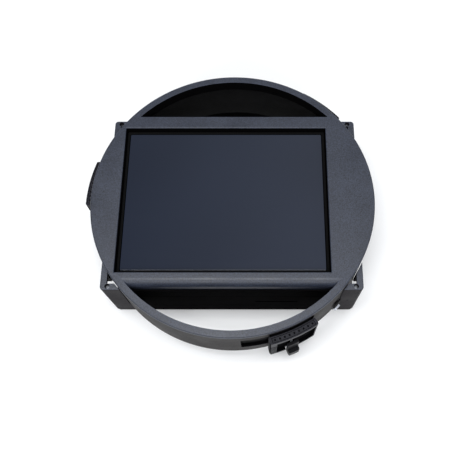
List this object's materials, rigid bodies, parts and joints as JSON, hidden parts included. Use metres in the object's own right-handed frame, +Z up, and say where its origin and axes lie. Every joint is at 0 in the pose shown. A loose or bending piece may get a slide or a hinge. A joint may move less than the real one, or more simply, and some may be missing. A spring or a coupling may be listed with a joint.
{
  "type": "negative carrier",
  "caption": "Round-faced glass negative carrier: a box tray, a round housing that telescopes over it, and a lock ring with ribbed grips.",
  "frame": {"origin": "middle of the footprint, in the resting plane", "axes": "+Z up out of the window face, +X along the long side of the window, +Y away from the front grip"},
  "size_m": [0.1112, 0.1098, 0.0351],
  "materials": {
    "face_plastic": "fine spark-eroded grain, satin",
    "body_plastic": "satin moulded",
    "grip_plastic": "satin moulded",
    "black_rubber": "matt",
    "dark_glass": "polished, dark coated",
    "black_metal": "black anodised",
    "steel": "plain"
  },
  "bodies": {
    "tray": {"base_frame": "body_plastic", "bottom_plate": "body_plastic", "film_stage": "black_metal", "lower_glass": "dark_glass", "film_rail_front": "black_metal", "film_rail_rear": "black_metal", "stage_screw_1": "steel", "stage_screw_2": "steel", "stage_screw_3": "steel", "stage_screw_4": "steel", "corner_screw_1": "steel", "corner_screw_2": "steel", "corner_screw_3": "steel", "corner_screw_4": "steel"},
    "housing": {"top_housing": "face_plastic", "glass_pane": "dark_glass", "glass_gasket": "black_rubber", "glass_frame": "black_metal", "frame_screw_1": "steel", "frame_screw_2": "steel", "frame_screw_3": "steel", "frame_screw_4": "steel", "index_clip": "steel"},
    "ring": {"lock_ring": "black_metal", "grip_front": "grip_plastic", "grip_front_screw_1": "steel", "grip_front_screw_2": "steel", "grip_rear": "grip_plastic", "grip_rear_screw_1": "steel", "grip_rear_screw_2": "steel", "grip_left": "grip_plastic", "grip_left_screw_1": "steel", "grip_left_screw_2": "steel", "catch_spring": "steel"},
    "catch": {"release_catch": "grip_plastic"}
  },
  "joints": [
    {"name": "housing_lift", "type": "slide", "parent": "tray", "child": "housing", "axis": [0, 0, 1], "range_m": [0, 0.0012]},
    {"name": "lock_ring_turn", "type": "hinge", "parent": "housing", "child": "ring", "pos_m": [0.0016, 0.00087, 0.02], "axis": [0, 0, 1], "range_deg": [0, 10]},
    {"name": "catch_press", "type": "slide", "parent": "ring", "child": "catch", "axis": [-0.3939, 0.9191, 0], "range_m": [0, 0.0008], "stiffness_N_per_m": 400}
  ],
  "couplings": [
    {"joint": "housing_lift", "follows": "lock_ring_turn", "m_per_rad": 0.006875}
  ]
}
